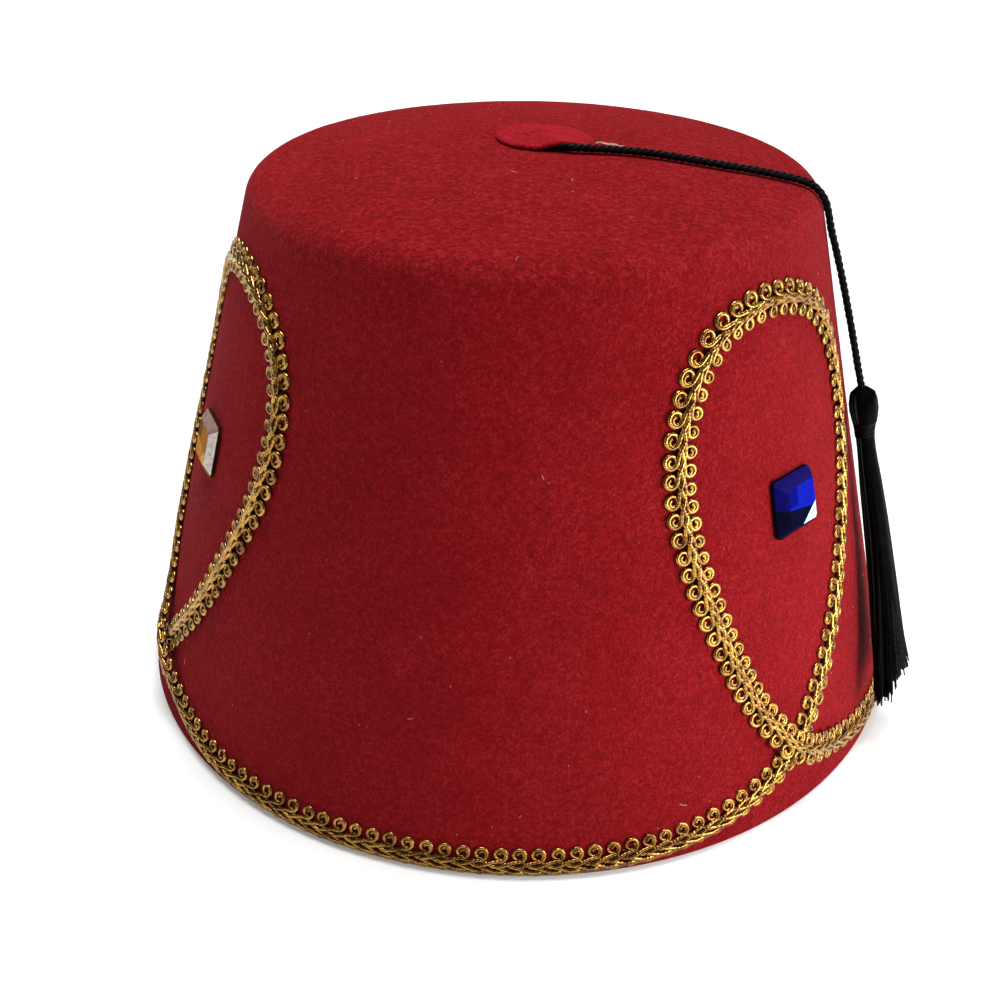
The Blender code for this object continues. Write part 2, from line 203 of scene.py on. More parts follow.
# The cord's route, as the CAD model has it
CORD_ROUTE = (
    (0.0034, 0.0010, 0.13043),
    (0.0038, -0.0034, 0.13041),
    (0.0049, -0.0074, 0.13033),
    (0.0076, -0.0097, 0.13021),
    (0.0120, -0.0099, 0.13008),
    (0.0180, -0.0096, 0.12980),
    (0.0250, -0.0097, 0.12932),
    (0.0330, -0.0107, 0.12852),
    (0.0410, -0.0116, 0.12751),
    (0.0495, -0.0116, 0.12623),
    (0.0555, -0.0119, 0.12517),
    (0.0600, -0.0129, 0.12428),
    (0.0622, -0.0142, 0.12322),
    (0.0637, -0.0156, 0.12141),
    (0.0646, -0.0164, 0.11919),
    (0.0658, -0.0168, 0.11500),
    (0.0672, -0.0173, 0.11100),
    (0.0693, -0.0185, 0.10450),
    (0.0710, -0.0199, 0.09860),
    (0.0725, -0.0215, 0.09300),
    (0.0745, -0.0229, 0.08571),
    (0.0759, -0.0235, 0.08090),
)

# The tassel from its head to its tips, in shares of its length and width: half width, half depth, and
# how far its middle stands off the cord's line
TasselRow = namedtuple("TasselRow", "along width depth out")
TASSEL_SECTIONS = (
    TasselRow(0.000, 0.13, 0.12, 0.00),
    TasselRow(0.011, 0.29, 0.28, 0.00),
    TasselRow(0.045, 0.35, 0.34, 0.00),
    TasselRow(0.084, 0.34, 0.33, 0.00),
    TasselRow(0.112, 0.25, 0.24, -0.02),
    TasselRow(0.135, 0.22, 0.21, -0.04),
    TasselRow(0.200, 0.23, 0.21, -0.04),
    TasselRow(0.300, 0.33, 0.26, -0.02),
    TasselRow(0.420, 0.43, 0.29, 0.00),
    TasselRow(0.560, 0.53, 0.31, 0.01),
    TasselRow(0.700, 0.61, 0.32, 0.04),
    TasselRow(0.830, 0.69, 0.32, 0.09),
    TasselRow(0.920, 0.74, 0.32, 0.16),
    TasselRow(1.000, 0.76, 0.31, 0.20),
)

# The camera, where the photograph was taken from
CAMERA_PLACE = (-0.00535, -0.29752, 0.20916)
CAMERA_DOWN = 30.2
CAMERA_ROLL = 0.88
CAMERA_LENS = 48.02


def make_camera():
    """The photograph's view of the hat."""
    camera = bpy.data.objects.new("camera", bpy.data.cameras.new("camera"))
    camera.data.lens = CAMERA_LENS
    camera.data.sensor_width = 36
    camera.data.clip_start = 0.01
    tilt = Matrix.Rotation(math.radians(90 - CAMERA_DOWN), 4, "X")
    roll = Matrix.Rotation(math.radians(CAMERA_ROLL), 4, "Z")
    camera.matrix_world = Matrix.Translation(CAMERA_PLACE) @ tilt @ roll
    bpy.context.scene.collection.objects.link(camera)
    bpy.context.scene.camera = camera


# The crown's geometry


def side_slant():
    """The angle of the crown's side from upright."""
    return math.atan2(RIM_RADIUS - TOP_CORNER_RADIUS, TOP_CORNER_HEIGHT)


def lean_at(height):
    """How far the crown has leaned towards +X at a height."""
    return CROWN_LEAN * height / TOP_CORNER_HEIGHT


def shoulder_centre():
    """Radius and height of the centre of the shoulder's round."""
    corner_angle = math.pi / 2 + side_slant()
    setback = SHOULDER_ROUND / math.tan(corner_angle / 2)
    return TOP_CORNER_RADIUS - setback, TOP_CORNER_HEIGHT - SHOULDER_ROUND


def side_top_height():
    """The height where the straight side ends and the shoulder begins."""
    return shoulder_centre()[1] + SHOULDER_ROUND * math.sin(side_slant())


def dome_edge():
    """Radius and height where the shoulder runs into the domed top."""
    centre_radius, centre_height = shoulder_centre()
    slope = math.radians(TOP_EDGE_SLOPE)
    radius = centre_radius + SHOULDER_ROUND * math.sin(slope)
    return radius, centre_height + SHOULDER_ROUND * math.cos(slope)


def top_height(x, y):
    """The height of the felt on the domed top."""
    edge_radius, edge_height = dome_edge()
    share = math.hypot(x - lean_at(TOP_CORNER_HEIGHT), y) / edge_radius
    rise = edge_radius * math.tan(math.radians(TOP_EDGE_SLOPE)) / 2
    return edge_height + rise * (1 - share * share)


def crown_frame(azimuth, height, stand_off):
    """A point off the crown's side, with the directions round, up and out of the felt there."""
    slant = side_slant()
    turn = math.radians(azimuth)
    outward = Vector((math.cos(turn), math.sin(turn), 0))
    around = Vector((-math.sin(turn), math.cos(turn), 0))
    normal = outward * math.cos(slant) + Vector((0, 0, math.sin(slant)))
    up_side = normal.cross(around)
    foot = outward * (RIM_RADIUS - height * math.tan(slant)) + Vector((0, 0, height))
    point = foot + normal * stand_off
    point.x += lean_at(point.z)
    return point, around, up_side, normal


# Routes


def smooth_route(points, steps, closed=False):
    """Points on a smooth curve through the given ones, several to each stretch."""
    count = len(points)
    spans = count if closed else count - 1
    route = []
    for index in range(spans):
        start, end = points[index], points[(index + 1) % count]
        before = points[index - 1] if closed or index else start * 2 - end
        last = index + 2 >= count and not closed
        after = end * 2 - start if last else points[(index + 2) % count]
        length = (end - start).length
        leave = (end - before) * (length / ((start - before).length + length))
        arrive = (after - start) * (length / ((after - end).length + length))
        for step in range(steps):
            t = step / steps
            route.append(
                start * (2 * t**3 - 3 * t**2 + 1) + leave * (t**3 - 2 * t**2 + t)
                + end * (3 * t**2 - 2 * t**3) + arrive * (t**3 - t**2)
            )
    if not closed:
        route.append(points[-1])
    return route


def route_length(route):
    """The length of a chain of points."""
    return sum((end - start).length for start, end in zip(route, route[1:]))


def even_steps(route, count, closed=False):
    """The route again, as points an equal distance apart."""
    chain = route + [route[0]] if closed else route
    reach = [0.0]
    for start, end in zip(chain, chain[1:]):
        reach.append(reach[-1] + (end - start).length)
    stops = count if closed else count - 1
    even = []
    span = 0
    for step in range(count):
        target = reach[-1] * step / stops
        while span < len(chain) - 2 and reach[span + 1] < target:
            span += 1
        share = (target - reach[span]) / (reach[span + 1] - reach[span])
        even.append(chain[span].lerp(chain[span + 1], share))
    return even


# Materials


class Finish:
    """A material's node tree, with short ways to add and join nodes."""

    def __init__(self, name, **values):
        self.material = bpy.data.materials.new(name)
        self.material.use_nodes = True
        self.nodes = self.material.node_tree.nodes
        self.links = self.material.node_tree.links
        self.shader = self.nodes["Principled BSDF"]
        for socket, value in values.items():
            self.shader.inputs[socket.replace("_", " ")].default_value = value

    def node(self, kind, **settings):
        """A new node with its own settings and, by socket name, its unlinked values."""
        new = self.nodes.new(kind)
        for name, value in settings.items():
            if hasattr(new, name):
                setattr(new, name, value)
            else:
                new.inputs[name.replace("_", " ")].default_value = value
        return new

    def join(self, source, target):
        """Link one socket to another."""
        self.links.new(source, target)

    def object_noise(self, scale, detail=2.0, roughness=0.5, distortion=0.0):
        """Noise fixed to the piece."""
        grain = self.node(
            "ShaderNodeTexNoise",
            Scale=scale, Detail=detail, Roughness=roughness, Distortion=distortion,
        )
        self.join(self.node("ShaderNodeTexCoord").outputs["Object"], grain.inputs["Vector"])
        return grain.outputs["Fac"]

    def rise_past(self, height, fade, amount):
        """Nought below a height on the piece, rising over a fade to an amount."""
        parts = self.node("ShaderNodeSeparateXYZ")
        self.join(self.node("ShaderNodeTexCoord").outputs["Object"], parts.inputs["Vector"])
        level = self.node("ShaderNodeMapRange")
        level.inputs["From Min"].default_value = height
        level.inputs["From Max"].default_value = height + fade
        level.inputs["To Max"].default_value = amount
        self.join(parts.outputs["Z"], level.inputs["Value"])
        return level.outputs["Result"]

    def math(self, operation, first, second):
        """The result of a sum on two sockets or numbers."""
        node = self.node("ShaderNodeMath", operation=operation)
        for value, socket in zip((first, second), node.inputs):
            if isinstance(value, (int, float)):
                socket.default_value = value
            else:
                self.join(value, socket)
        return node.outputs[0]

    def ramp(self, factor, stops):
        """A colour for each level of a factor."""
        node = self.node("ShaderNodeValToRGB")
        ramp = node.color_ramp
        while len(ramp.elements) < len(stops):
            ramp.elements.new(0.5)
        for element, (place, colour) in zip(ramp.elements, stops):
            element.position = place
            element.color = (*colour, 1)
        self.join(factor, node.inputs["Fac"])
        return node.outputs["Color"]

    def bump(self, heights):
        """Stack bumps on the shader's normal, each a height socket, a distance and a strength."""
        below = None
        for height, distance, strength in heights:
            bump = self.node("ShaderNodeBump", Strength=strength, Distance=distance)
            self.join(height, bump.inputs["Height"])
            if below:
                self.join(below, bump.inputs["Normal"])
            below = bump.outputs["Normal"]
        self.join(below, self.shader.inputs["Normal"])


def felt_finish(name, shade, middle, light):
    """Napped wool felt: mottled red, matt, with a soft sheen and a fine matted grain."""
    felt = Finish(
        name, Roughness=1.0, Specular_IOR_Level=0.08, Sheen_Weight=0.04, Sheen_Roughness=0.5
    )
    felt.shader.inputs["Sheen Tint"].default_value = (1.0, 0.45, 0.45, 1)
    clouds = felt.object_noise(70, detail=3)
    mottle = felt.object_noise(800, detail=3, roughness=0.65, distortion=0.2)
    fibres = felt.object_noise(1800, detail=3, roughness=0.7, distortion=0.6)
    mottle_part = felt.math("MULTIPLY", mottle, 0.34)
    fibre_part = felt.math("MULTIPLY", fibres, 0.55)
    cloud_part = felt.math("MULTIPLY", clouds, 0.11)
    joined = felt.math("ADD", felt.math("ADD", mottle_part, fibre_part), cloud_part)
    on_top = felt.rise_past(ROUGH_TOP_FROM, ROUGH_TOP_FADE, ROUGH_TOP_AMOUNT)
    rougher = felt.math("MULTIPLY", felt.math("SUBTRACT", mottle, 0.5), on_top)
    joined = felt.math("ADD", joined, rougher)
    colour = felt.ramp(joined, ((0.34, shade), (0.50, middle), (0.66, light)))
    felt.join(colour, felt.shader.inputs["Base Color"])
    felt.bump(((mottle, 0.0009, 0.8), (fibres, 0.0008, 1.0)))
    return felt.material


def thread_finish(name, dark, bright, turns, metallic, roughness):
    """Wound thread: fine slanted windings along each thread, by its own UV map."""
    shine = 0.5 if metallic else 0.07
    thread = Finish(name, Metallic=metallic, Roughness=roughness, Specular_IOR_Level=shine)
    place = thread.node("ShaderNodeUVMap", uv_map="UVMap")
    parts = thread.node("ShaderNodeSeparateXYZ")
    thread.join(place.outputs["UV"], parts.inputs["Vector"])
    along = thread.math("MULTIPLY", parts.outputs["X"], turns)
    winding = thread.math("ADD", along, parts.outputs["Y"])
    wave = thread.math("SINE", thread.math("MULTIPLY", winding, 2 * math.pi), 0)
    wave = thread.math("ADD", thread.math("MULTIPLY", wave, 0.5), 0.5)
    dirt = thread.object_noise(420, detail=3)
    wave_part = thread.math("MULTIPLY", wave, 0.16)
    level = thread.math("ADD", wave_part, thread.math("MULTIPLY", dirt, 0.88))
    colour = thread.ramp(level, ((0.34, dark), (0.68, bright)))
    thread.join(colour, thread.shader.inputs["Base Color"])
    thread.bump(((wave, 0.00003, 0.5),))
    return thread.material


def glass_finish(name):
    """Foil-backed glass: each facet's colour with its painted reflections and shade, uneven like
    foil, under a clear polished face.
    """
    glass = Finish(name, Roughness=0.05, IOR=1.03)
    tint = glass.node("ShaderNodeAttribute", attribute_name="facet")
    foil = glass.object_noise(700, detail=3, distortion=1.5)
    level = glass.ramp(foil, ((0.30, (0.70, 0.70, 0.70)), (0.65, (1.15, 1.15, 1.15))))
    mix = glass.node("ShaderNodeMix", data_type="RGBA", blend_type="MULTIPLY")
    mix.inputs["Factor"].default_value = 1.0
    glass.join(tint.outputs["Color"], mix.inputs[6])
    glass.join(level, mix.inputs[7])
    glass.join(mix.outputs[2], glass.shader.inputs["Base Color"])
    glass.bump(((glass.object_noise(260, detail=1), 0.0001, 0.12),))
    return glass.material


# Pieces


def add_piece(name, mesh, finish, nodes, smooth_angle):
    """Put a finished mesh on the hat, standing for its CAD nodes."""
    mesh.materials.clear()
    mesh.materials.append(finish)
    mesh.shade_smooth()
    mesh.set_sharp_from_angle(angle=math.radians(smooth_angle))
    thing = bpy.data.objects.new(name, mesh)
    bpy.context.scene.collection.objects.link(thing)
    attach(thing, "root")
    if nodes:
        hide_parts(*nodes)
    return thing


def mesh_from(bm, name):
    """Turn a bmesh into a mesh with its doubles merged and its faces outwards."""
    bmesh.ops.remove_doubles(bm, verts=bm.verts, dist=MERGE_DISTANCE)
    bmesh.ops.recalc_face_normals(bm, faces=bm.faces)
    mesh = bpy.data.meshes.new(name)
    bm.to_mesh(mesh)
    bm.free()
    return mesh


def thread_mesh(name, paths, radius, resolution=1, radii=None):
    """Round threads along many open paths, as one mesh with a UV map along each thread."""
    curve = bpy.data.curves.new(name, "CURVE")
    curve.dimensions = "3D"
    curve.bevel_depth = radius
    curve.bevel_resolution = resolution
    curve.use_fill_caps = True
    for index, path in enumerate(paths):
        spline = curve.splines.new("POLY")
        spline.points.add(len(path) - 1)
        for place, (knot, point) in enumerate(zip(spline.points, path)):
            knot.co = (*point, 1)
            if radii:
                knot.radius = radii(index, place / (len(path) - 1))
    holder = bpy.data.objects.new(name + "_line", curve)
    bpy.context.scene.collection.objects.link(holder)
    depsgraph = bpy.context.evaluated_depsgraph_get()
    mesh = bpy.data.meshes.new_from_object(holder.evaluated_get(depsgraph))
    mesh.name = name
    bpy.data.objects.remove(holder)
    bpy.data.curves.remove(curve)
    return mesh


def spin_profile(profile, facets):
    """A closed round body, turned from a chain of radius and height points that ends on the axis."""
    bm = bmesh.new()
    verts = [bm.verts.new((radius, 0, height)) for radius, height in profile]
    edges = [bm.edges.new(pair) for pair in zip(verts, verts[1:])]
    bmesh.ops.spin(
        bm, geom=verts + edges, cent=(0, 0, 0), axis=(0, 0, 1),
        angle=2 * math.pi, steps=facets, use_merge=True,
    )
    return bm


def crown_profile(inset, side_steps, shoulder_steps, top_steps):
    """Radius and height along the felt from the rim to the middle of the top, inset into the wall."""
    slant = side_slant()
    centre_radius, centre_height = shoulder_centre()
    bend = SHOULDER_ROUND - inset
    rim = RIM_RADIUS - inset / math.cos(slant)
    side_end = (centre_radius + bend * math.cos(slant), centre_height + bend * math.sin(slant))
    profile = []
    for step in range(side_steps):
        share = step / side_steps
        profile.append((rim + (side_end[0] - rim) * share, side_end[1] * share))
    dome_angle = math.pi / 2 - math.radians(TOP_EDGE_SLOPE)
    for step in range(shoulder_steps + 1):
        angle = slant + (dome_angle - slant) * step / shoulder_steps
        radius = centre_radius + bend * math.cos(angle)
        profile.append((radius, centre_height + bend * math.sin(angle)))
    edge_radius, edge_height = profile[-1]
    rise = edge_radius * math.tan(math.radians(TOP_EDGE_SLOPE)) / 2
    for step in range(1, top_steps + 1):
        share = 1 - step / top_steps
        profile.append((edge_radius * share, edge_height + rise * (1 - share * share)))
    return profile


def felt_lumps(spot, depth):
    """How far the felt dips at a spot: soft hollows from the blocking and a finer unevenness."""
    broad = noise.noise(spot * 22.0)
    fine = noise.noise(spot * 160.0 + Vector((4.1, 0.3, 2.2)))
    return depth * (0.7 * broad + 0.3 * fine - 0.5)


def make_crown(felt):
    """The felt crown with its thickness, a blunted cut edge and a slightly uneven surface."""
    outside = crown_profile(-NAP_SWELL, SIDE_STEPS, SHOULDER_STEPS, TOP_STEPS)
    inside = crown_profile(FELT_WALL, SIDE_STEPS // 3, SHOULDER_STEPS // 2, TOP_STEPS // 2)
    outer_foot, inner_foot = Vector(outside[0]), Vector(inside[0])
    blunt = [
        (outer_foot.x - CUT_EDGE_ROUND * 0.15, CUT_EDGE_ROUND),
        (outer_foot.x - CUT_EDGE_ROUND * 0.45, CUT_EDGE_ROUND * 0.25),
        (outer_foot.x - CUT_EDGE_ROUND * 1.2, 0.0),
        (inner_foot.x + CUT_EDGE_ROUND * 1.2, 0.0),
        (inner_foot.x + CUT_EDGE_ROUND * 0.3, CUT_EDGE_ROUND * 0.25),
        (inner_foot.x, CUT_EDGE_ROUND),
    ]
    bm = spin_profile(outside[:0:-1] + blunt + inside[1:], CROWN_FACETS)
    bm.normal_update()
    for vert in bm.verts:
        dip = felt_lumps(vert.co, FELT_LUMPS) * min(1, vert.co.z / EVEN_RIM_HEIGHT)
        vert.co += vert.normal * dip
        vert.co.x += lean_at(vert.co.z)
    add_piece("crown_felt", mesh_from(bm, "crown_felt"), felt, ["felt_crown"], 60)


def make_button(felt, route):
    """The felt disc over the cord's hidden end: soft cut edge, a hump along the cord and a crease."""
    rings = 20
    edge_soft = 0.0004
    profile = [(BUTTON_RADIUS * ring / rings, 0) for ring in range(rings)]
    profile += [
        (BUTTON_RADIUS - edge_soft * 0.3, 0),
        (BUTTON_RADIUS, edge_soft),
        (BUTTON_RADIUS - edge_soft * 0.2, BUTTON_THICKNESS - edge_soft * 0.7),
        (BUTTON_RADIUS - edge_soft, BUTTON_THICKNESS),
    ]
    profile += [(BUTTON_RADIUS * ring / rings, BUTTON_THICKNESS) for ring in range(rings - 1, -1, -1)]
    bm = spin_profile(profile, 96)
    centre = Vector(BUTTON_CENTRE)
    hidden = [point.xy for point in route if (point.xy - centre).length < 1.6 * BUTTON_RADIUS]
    hump = CORD_DIAMETER - CORD_SQUASH - CORD_BEDDED * CORD_DIAMETER + GAP
    crease_start, crease_end = [centre + Vector(end) for end in CREASE]
    for vert in bm.verts:
        wobble = 1 + 0.012 * noise.noise(vert.co * 330.0)
        spot = vert.co.xy * wobble + centre
        beside = min((spot - point).length for point in hidden)
        lift = hump * math.exp(-((beside / HUMP_SPREAD) ** 2))
        reach = crease_end - crease_start
        share = max(0, min(1, (spot - crease_start).dot(reach) / reach.length_squared))
        from_crease = (spot - crease_start - reach * share).length
        if vert.co.z > BUTTON_THICKNESS / 2:
            lift -= CREASE_DEPTH * math.exp(-((from_crease / CREASE_WIDTH) ** 2))
            lift += BUTTON_LUMPS * noise.noise(Vector((*spot, 0)) * 260.0)
        lift -= BUTTON_SINK * max(0, (spot - centre).dot(Vector(BUTTON_SINK_WAY)) / BUTTON_RADIUS)
        vert.co = Vector((*spot, vert.co.z + top_height(*spot) + GAP + lift))
    add_piece("button_felt", mesh_from(bm, "button_felt"), felt, ["felt_button"], 60)


# Gimp braid


def base_height():
    """The height of the braid's middle where it runs round the rim."""
    return BRAID_RIM_MARGIN + BRAID_WIDTH / 2 * math.cos(side_slant())


def motif_place(motif, row, side=1):
    """The azimuth and height of one row of a motif's loop, on its own side or on the other side."""
    half_band = BRAID_WIDTH / 2 * math.cos(side_slant())
    full_top = side_top_height() - LOOP_SHOULDER_MARGIN - half_band
    height = base_height() + row.up * (full_top - base_height()) * motif.height
    side_step = side * row.across * LOOP_HALF_WIDTH + row.sway * motif.sway
    radius = RIM_RADIUS - height * math.tan(side_slant())
    return motif.azimuth + math.degrees(side_step / radius), height


def braid_knots():
    """The braid's chosen points in order round the hat, each with its share of lift."""
    knots = []
    for motif, following in zip(MOTIFS, MOTIFS[1:] + MOTIFS[:1]):
        for row in ARM:
            knots.append((*motif_place(motif, row), 0))
        knots.append((*motif_place(motif, LOOP_TOP), 0))
        for row in reversed(ARM):
            knots.append((*motif_place(motif, row, -1), row.over))
        leave, _ = motif_place(motif, ARM[0], -1)
        arrive, _ = motif_place(following, ARM[0])
        sweep = (arrive - leave) % 360
        for point in range(1, BASE_RUN_POINTS + 1):
            knots.append((leave + sweep * point / (BASE_RUN_POINTS + 1), base_height(), 0))
    return knots


class BraidLine:
    """The braid's centre line as a closed track, read by how far along it something lies."""

    def __init__(self, step):
        knots = [
            Vector((*crown_frame(azimuth, height, 0)[0], over * BRAID_THICKNESS))
            for azimuth, height, over in braid_knots()
        ]
        route = smooth_route(knots, SPAN_STEPS, closed=True)
        for point in route:
            low = max(0, min(1, 1 - (point.z - RIM_DROP_BELOW) / RIM_DROP_FADE))
            point.z -= RIM_DROP * low
        self.length = route_length(route + route[:1])
        self.count = round(self.length / step)
        stations = even_steps(route, self.count, closed=True)
        self.frames = []
        for index, station in enumerate(stations):
            azimuth = math.degrees(math.atan2(station.y, station.x - lean_at(station.z)))
            lift = max(0, station.w) / BRAID_THICKNESS * CROSSING_LIFT
            point, _, _, normal = crown_frame(azimuth, station.z, GAP + lift)
            ahead = stations[(index + 1) % self.count] - stations[index - 1]
            across = normal.cross(ahead.xyz).normalized()
            self.frames.append((point, across, normal))

    def place(self, along, across, up):
        """A point beside and above the centre line."""
        reach = along / self.length * self.count
        index = math.floor(reach)
        share = reach - index
        point, side, normal = self.frames[index % self.count]
        next_point, next_side, next_normal = self.frames[(index + 1) % self.count]
        point = point.lerp(next_point, share)
        return point + side.lerp(next_side, share) * across + normal.lerp(next_normal, share) * up


# A scroll's thread where it runs along the rib, before it curls: how far along in pitches, how far
# across in millimetres towards its own edge, and how high in millimetres. Round the rim the lower
# edge is turned under, so its threads only slant down to the cut edge.
RibRow = namedtuple("RibRow", "along across up")
FLAT_RIB = (
    RibRow(-1.50, -0.72, 0.15),
    RibRow(-1.22, -0.62, 0.66),
    RibRow(-0.92, -0.30, 1.02),
    RibRow(-0.60, 0.14, 1.04),
    RibRow(-0.28, 0.60, 0.78),
)
TURNED_RIB = (
    RibRow(-1.45, -0.45, 0.20),
    RibRow(-1.05, -0.12, 0.74),
    RibRow(-0.62, 0.42, 0.96),
    RibRow(-0.18, 1.06, 0.88),
    RibRow(0.24, 1.72, 0.64),
)
# The ring at a scroll's end: the middle's place in pitches along and millimetres across, its radius
# in millimetres, and how much it is flattened across
Ring = namedtuple("Ring", "along across radius squash")
WIDE_RING = Ring(0.12, 2.20, 1.40, 1.0)
TIGHT_RING = Ring(0.12, 2.06, 1.24, 1.0)
UPPER_RING = Ring(0.12, 2.10, 1.27, 1.0)
TURNED_RING = Ring(0.52, 2.05, 0.95, 0.5)
RING_POINTS = 21
# How a ring's thread winds, in degrees: where it starts, how far its outer turn goes, and its inner
# turn where the ring is filled and where it is left open. Most rings are filled.
RING_START = -80
OUTER_TURN = 370
FILLED_TURN = 250
OPEN_TURN = 110
FILLED_SHARE = 0.9
# The share of a ring's thread in the outer turn, and the radius in millimetres of its curled end
OUTER_SHARE = 0.58
CURLED_RADIUS = 0.46


def blend_rows(first, second, share):
    """A row part of the way between two rows."""
    return type(first)(*(a + (b - a) * share for a, b in zip(first, second)))


def loop_share(line, along):
    """Nought where the braid runs round the rim, one where it climbs in a loop."""
    return max(0, min(1, (line.place(along, 0, 0).z - LOOP_FROM) / LOOP_FADE))


def scroll_path(line, start, side, chance):
    """One thread of the gimp: out of the rib, then curled into a ring at the braid's edge."""
    on_loop = loop_share(line, start)
    if side > 0:
        rib, ring = FLAT_RIB, blend_rows(UPPER_RING, TIGHT_RING, on_loop)
    else:
        rib = [blend_rows(low, high, on_loop) for low, high in zip(TURNED_RIB, FLAT_RIB)]
        ring = blend_rows(TURNED_RING, WIDE_RING, on_loop)
    size = chance.uniform(0.93, 1.07)
    shift = chance.uniform(-0.14, 0.14)
    inner_turn = FILLED_TURN if chance.random() < FILLED_SHARE else OPEN_TURN
    points = [(row.along * SCROLL_PITCH * 1000, row.across, row.up) for row in rib]
    for step in range(RING_POINTS):
        share = step / (RING_POINTS - 1)
        inner = max(0, (share - OUTER_SHARE) / (1 - OUTER_SHARE))
        turn = OUTER_TURN * min(1, share / OUTER_SHARE) + inner_turn * inner
        angle = math.radians(RING_START + turn)
        curled_in = (ring.radius - CURLED_RADIUS) * min(1, inner * 1.4)
        radius = size * (ring.radius - 0.06 * share - curled_in)
        along = ring.along * SCROLL_PITCH * 1000 + shift + radius * math.cos(angle)
        across = ring.across + radius * ring.squash * math.sin(angle)
        up = 0.14 + 0.55 * max(0, 1 - share / 0.30) ** 2 - 0.16 * min(1, inner * 2) + 0.06 * share
        points.append((along, across, up))
    jitter = chance.uniform(-0.05, 0.05)
    mm = 0.001
    return [
        line.place(start + along * mm, side * across * mm, (up + jitter) * mm)
        for along, across, up in points
    ]


def make_gimp(gold, core_gold):
    """The scroll gimp: two edge rows of curled threads whose stems plait into a rib over a core."""
    chance = random.Random(11)
    line = BraidLine(LINE_STEP)
    count = round(line.length / SCROLL_PITCH)
    pitch = line.length / count
    for name, side, lag in (("gimp_upper_scrolls", 1, 0.0), ("gimp_lower_scrolls", -1, 0.5)):
        starts = [(index + lag) * pitch for index in range(count)]
        paths = [scroll_path(line, start, side, chance) for start in starts]
        fullness = [1 + LOOP_FULLNESS * loop_share(line, start) for start in starts]
        mesh = thread_mesh(name, paths, THREAD_RADIUS, radii=lambda index, share: fullness[index])
        add_piece(name, mesh, gold, ["gold_braid"], 80)
    core_steps = round(line.length / CORE_STEP)
    core = []
    turned_edge = []
    for step in range(core_steps + 1):
        along = line.length * step / core_steps
        core.append(line.place(along, 0, CORE_HEIGHT))
        aside = -TURNED_CORE * (1 - loop_share(line, along))
        turned_edge.append(line.place(along, aside, CORE_HEIGHT))
    mesh = thread_mesh("gimp_core", [core, turned_edge], CORE_RADIUS)
    add_piece("gimp_core", mesh, core_gold, ["gold_braid"], 80)


# Stones

FacetRow = namedtuple("FacetRow", "inward rise")
STONE_FACETS = (
    FacetRow(0.0013, 0.0011),
    FacetRow(0.0006, 0.0004),
)
TABLE_SLACK = 0.00005

# The lines where the painted light and shade part on a stone, each through a place and facing a
# direction. The shade line runs on over the bevels, and the other three stay on the table.
PaintedLightLine = namedtuple("PaintedLightLine", "place direction")
SHADE_LINE = PaintedLightLine((0, -0.0008), (0.18, 1))
BLOCK_SIDE = PaintedLightLine((-0.0014, 0), (1, 0))
BLOCK_FOOT = PaintedLightLine((0, 0.0004), (0, 1))
GLINT_LINE = PaintedLightLine((0.0018, -0.0026), (0.62, -0.79))

# Each stone's colour with painted light and shade, as linear colours lit as in the view: the table's
# upper part, its left block in painted shade, its foot in painted shade and its corner with a painted
# glint, the bevels on the stone's right, top, left and foot with their painted reflections and shade,
# and the stone's edge
StoneTints = namedtuple("StoneTints", "table block shade spark right top left foot edge")
BLUE_TINTS = StoneTints(
    (0.004, 0.010, 0.30), (0.003, 0.004, 0.14), (0.002, 0.003, 0.016), (0.50, 0.88, 0.98),
    (0.090, 0.110, 0.42), (0.009, 0.006, 0.09), (0.004, 0.004, 0.10), (0.003, 0.003, 0.016),
    (0.006, 0.002, 0.010),
)
AMBER_TINTS = StoneTints(
    (0.36, 0.120, 0.003), (0.15, 0.050, 0.003), (0.50, 0.200, 0.006), (0.62, 0.34, 0.060),
    (0.80, 0.72, 0.66), (0.30, 0.19, 0.17), (0.10, 0.040, 0.005), (0.36, 0.17, 0.050),
    (0.030, 0.012, 0.004),
)


def stone_matrix(motif):
    """Where a stone sits: its own X round the hat, Y up the side and Z off the felt."""
    azimuth, height = motif_place(motif, STONE_ROW)
    point, around, up_side, normal = crown_frame(azimuth, height, GAP)
    point += around * motif.nudge - up_side * motif.nudge * 0.6
    turn = Matrix((around, up_side, normal)).transposed().to_4x4()
    return Matrix.Translation(point) @ turn @ Matrix.Diagonal((motif.size, motif.size, motif.rise, 1))


def split_top(bm, lowest, line):
    """Cut the faces above a height along a line, so that a tint with its painted light and shade ends
    there.
    """
    faces = [face for face in bm.faces if face.calc_center_median().z > lowest]
    geometry = faces + list({edge for face in faces for edge in face.edges})
    geometry += list({vert for face in faces for vert in face.verts})
    bmesh.ops.bisect_plane(
        bm, geom=geometry, plane_co=(*line.place, 0), plane_no=(*line.direction, 0)
    )


def beyond(spot, line):
    """Whether a spot on a stone lies past a line that parts its painted light and shade."""
    return (spot.xy - Vector(line.place)).dot(Vector(line.direction)) > 0


def facet_tint(face, on_table, tints):
    """The colour of one facet by where it lies, with the highlight and shade painted on it."""
    middle = face.calc_center_median()
    normal = face.normal
    if middle.z > on_table:
        # The table: a painted glint at one corner, painted shade on its foot and on its left block
        if beyond(middle, GLINT_LINE):
            return tints.spark
        if not beyond(middle, SHADE_LINE):
            return tints.shade
        if beyond(middle, BLOCK_FOOT) and not beyond(middle, BLOCK_SIDE):
            return tints.block
        return tints.table
    # Below the table the edge is dark, and each bevel carries the painted reflection and shade of the
    # way it faces
    if middle.z < STONE_GIRDLE:
        return tints.edge
    if abs(normal.x) > abs(normal.y):
        if normal.x > 0:
            return tints.right
        return tints.left if middle.y > SHADE_LINE.place[1] else tints.foot
    return tints.top if normal.y > 0 else tints.foot


